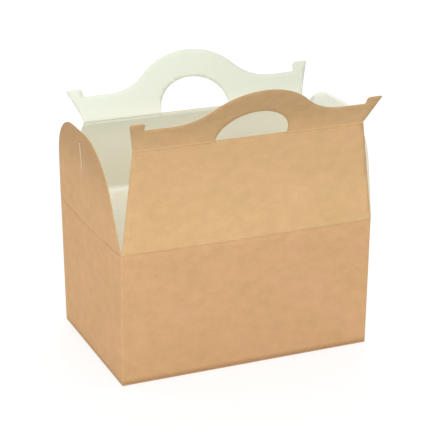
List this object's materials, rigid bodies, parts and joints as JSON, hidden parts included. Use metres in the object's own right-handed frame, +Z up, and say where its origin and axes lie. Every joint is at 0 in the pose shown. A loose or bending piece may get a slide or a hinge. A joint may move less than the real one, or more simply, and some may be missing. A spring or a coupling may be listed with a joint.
{
  "type": "kids meal box",
  "caption": "Folding kraft board meal box, standing open: two roof panels, arched handle panels with hand holes and ears, and slit end flaps.",
  "frame": {"origin": "centre of the base's lower face", "axes": "+X along the length, to the right seen from the front; +Y to the rear; +Z up"},
  "size_m": [0.2298, 0.1733, 0.2417],
  "materials": {
    "kraft_board": "matt, brown outside",
    "white_face": "matt, white inside"
  },
  "bodies": {
    "carton": {"carton": "kraft_board"},
    "front_roof": {"front_roof": "kraft_board"},
    "rear_roof": {"rear_roof": "kraft_board"},
    "front_handle": {"front_handle": "kraft_board"},
    "rear_handle": {"rear_handle": "kraft_board"},
    "left_end_flap": {"left_end_flap": "kraft_board"},
    "right_end_flap": {"right_end_flap": "kraft_board"}
  },
  "joints": [
    {"name": "front_roof_crease", "type": "hinge", "parent": "carton", "child": "front_roof", "pos_m": [0, -0.06978, 0.114], "axis": [-1, 0, 0], "range_deg": [-101, 61.1]},
    {"name": "rear_roof_crease", "type": "hinge", "parent": "carton", "child": "rear_roof", "pos_m": [0, 0.07777, 0.114], "axis": [1, 0, 0], "range_deg": [-127, 35.1]},
    {"name": "front_handle_crease", "type": "hinge", "parent": "front_roof", "child": "front_handle", "pos_m": [0, -0.06833, 0.19699], "axis": [1, 0, 0], "range_deg": [-32, 30.1]},
    {"name": "rear_handle_crease", "type": "hinge", "parent": "rear_roof", "child": "rear_handle", "pos_m": [0, 0.04009, 0.18795], "axis": [-1, 0, 0], "range_deg": [-60, 2.1]},
    {"name": "left_flap_crease", "type": "hinge", "parent": "carton", "child": "left_end_flap", "pos_m": [-0.10977, 0.004, 0.114], "axis": [0, 1, 0], "range_deg": [-95, 12.5]},
    {"name": "right_flap_crease", "type": "hinge", "parent": "carton", "child": "right_end_flap", "pos_m": [0.10977, 0.004, 0.114], "axis": [0, -1, 0], "range_deg": [-98, 9.5]}
  ]
}
